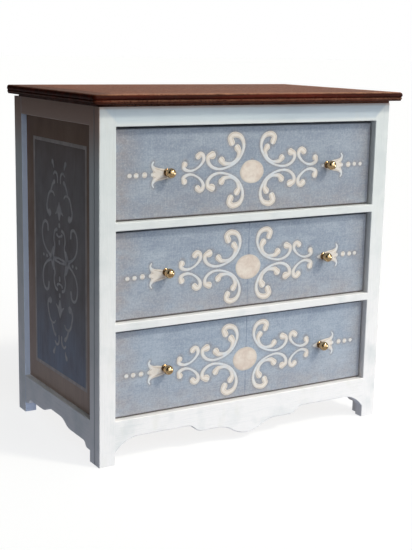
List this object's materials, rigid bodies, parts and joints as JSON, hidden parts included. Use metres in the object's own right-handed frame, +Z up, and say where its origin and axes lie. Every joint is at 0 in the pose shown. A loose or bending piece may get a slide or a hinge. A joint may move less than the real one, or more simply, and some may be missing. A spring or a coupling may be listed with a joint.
{
  "type": "miniature chest of drawers",
  "caption": "Doll's house chest with sliding drawers behind a face frame, panelled sides, shaped aprons, moulded top and turned knobs.",
  "frame": {"origin": "on the floor, under the middle of the whole outline", "axes": "+Z up, -Y towards the front (the drawers open along -Y), +X to the right seen from the front"},
  "size_m": [0.0808, 0.049, 0.08],
  "materials": {
    "stained_top": "satin stain, worn",
    "white_paint": "matt chalk paint",
    "blue_paint": "matt blue-grey paint with cream stencilled scrolls and a thin brown glaze",
    "side_panel_paint": "matt blue-grey paint with a tan border and a cream scroll",
    "bare_wood": "unfinished, sanded",
    "brass": "polished"
  },
  "bodies": {
    "carcass": {"back_panel": "bare_wood", "bottom_board": "bare_wood", "bottom_left_drawer_guide": "bare_wood", "bottom_right_drawer_guide": "bare_wood", "front_apron": "white_paint", "left_face_stile": "white_paint", "left_side_apron": "white_paint", "left_side_back_stile": "white_paint", "left_side_front_stile": "white_paint", "left_side_panel": "side_panel_paint", "left_side_top_rail": "white_paint", "lower_divider": "white_paint", "lower_dust_board": "bare_wood", "middle_left_drawer_guide": "bare_wood", "middle_right_drawer_guide": "bare_wood", "right_face_stile": "white_paint", "right_side_apron": "white_paint", "right_side_back_stile": "white_paint", "right_side_front_stile": "white_paint", "right_side_panel": "side_panel_paint", "right_side_top_rail": "white_paint", "sub_top": "stained_top", "top_board": "stained_top", "top_left_drawer_guide": "bare_wood", "top_rail": "white_paint", "top_right_drawer_guide": "bare_wood", "upper_divider": "white_paint", "upper_dust_board": "bare_wood"},
    "bottom_drawer": {"bottom_drawer_back": "bare_wood", "bottom_drawer_bottom": "bare_wood", "bottom_drawer_front": "blue_paint", "bottom_drawer_left_knob": "brass", "bottom_drawer_left_side": "bare_wood", "bottom_drawer_right_knob": "brass", "bottom_drawer_right_side": "bare_wood"},
    "middle_drawer": {"middle_drawer_back": "bare_wood", "middle_drawer_bottom": "bare_wood", "middle_drawer_front": "blue_paint", "middle_drawer_left_knob": "brass", "middle_drawer_left_side": "bare_wood", "middle_drawer_right_knob": "brass", "middle_drawer_right_side": "bare_wood"},
    "top_drawer": {"top_drawer_back": "bare_wood", "top_drawer_bottom": "bare_wood", "top_drawer_front": "blue_paint", "top_drawer_left_knob": "brass", "top_drawer_left_side": "bare_wood", "top_drawer_right_knob": "brass", "top_drawer_right_side": "bare_wood"}
  },
  "joints": [
    {"name": "bottom_drawer_slide", "type": "slide", "parent": "carcass", "child": "bottom_drawer", "axis": [0, -1, 0], "range_m": [0, 0.03]},
    {"name": "middle_drawer_slide", "type": "slide", "parent": "carcass", "child": "middle_drawer", "axis": [0, -1, 0], "range_m": [0, 0.03]},
    {"name": "top_drawer_slide", "type": "slide", "parent": "carcass", "child": "top_drawer", "axis": [0, -1, 0], "range_m": [0, 0.03]}
  ]
}
